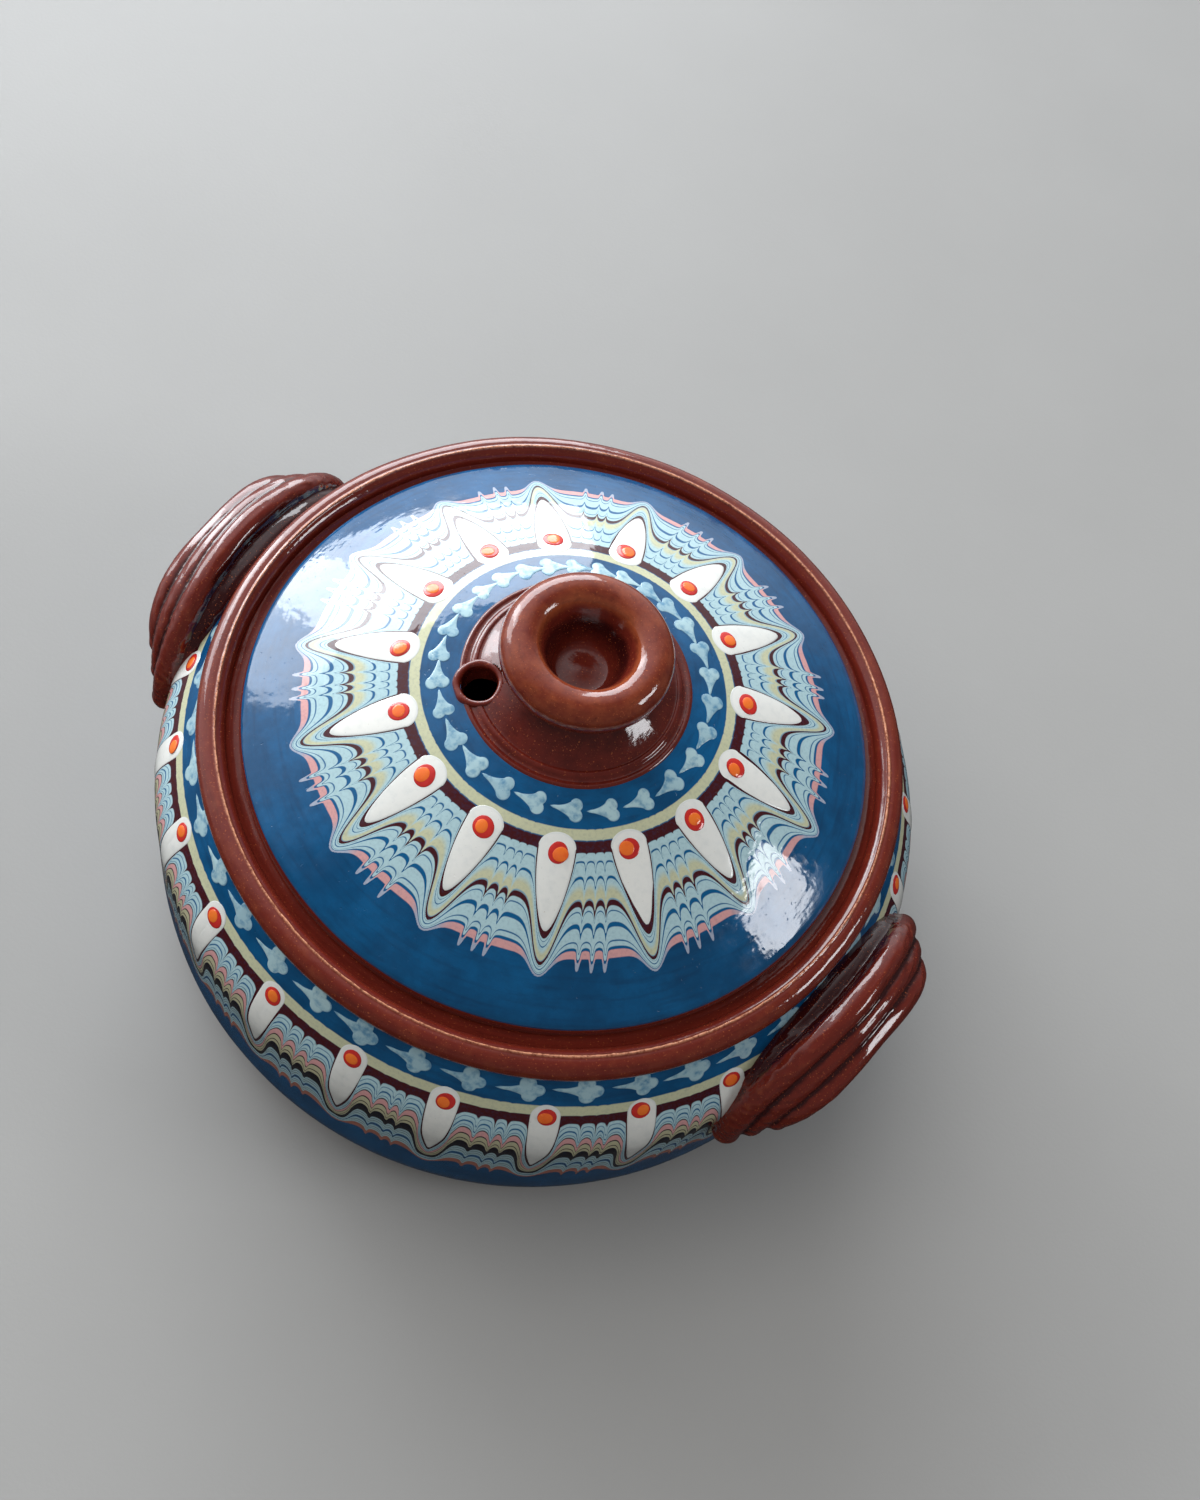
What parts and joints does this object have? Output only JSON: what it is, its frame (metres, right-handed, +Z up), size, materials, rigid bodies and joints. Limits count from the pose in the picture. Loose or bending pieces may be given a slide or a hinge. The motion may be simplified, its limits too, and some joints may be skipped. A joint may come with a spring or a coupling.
{
  "type": "lidded earthenware casserole",
  "caption": "Round-bellied glazed clay cooking pot with a domed lid set inside a rolled rim, a dished knob, a steam vent, ribbed lug handles and trailed-slip decoration.",
  "frame": {"origin": "middle of the foot's resting plane, on the pot's axis", "axes": "+Z up the pot's axis; +X out through the right handle; -Y towards the side seen first"},
  "size_m": [0.2813, 0.254, 0.1645],
  "materials": {
    "brown_glaze": "clear lead-free gloss over red-brown clay, paler on edges",
    "blue_slip": "glossy clear glaze over blue slip",
    "cream_slip": "glossy clear glaze over cream slip",
    "pale_blue_slip": "glossy clear glaze over pale blue slip",
    "red_slip": "glossy clear glaze over red slip",
    "orange_slip": "glossy clear glaze over orange slip"
  },
  "bodies": {
    "pot": {"pot_bowl": "brown_glaze", "handle_right": "brown_glaze", "handle_left": "brown_glaze", "pot_slip_coat": "blue_slip", "pot_cream_petals": "cream_slip", "pot_pale_hearts": "pale_blue_slip", "pot_red_dots": "red_slip", "pot_orange_dots": "orange_slip"},
    "lid": {"lid_dome": "brown_glaze", "lid_knob": "brown_glaze", "lid_vent_ring": "brown_glaze", "lid_slip_coat": "blue_slip", "lid_cream_petals": "cream_slip", "lid_pale_hearts": "pale_blue_slip", "lid_red_dots": "red_slip", "lid_orange_dots": "orange_slip"}
  },
  "joints": [
    {"name": "lid_lift", "type": "slide", "parent": "pot", "child": "lid", "axis": [0, 0, 1], "range_m": [0, 0.12]}
  ]
}
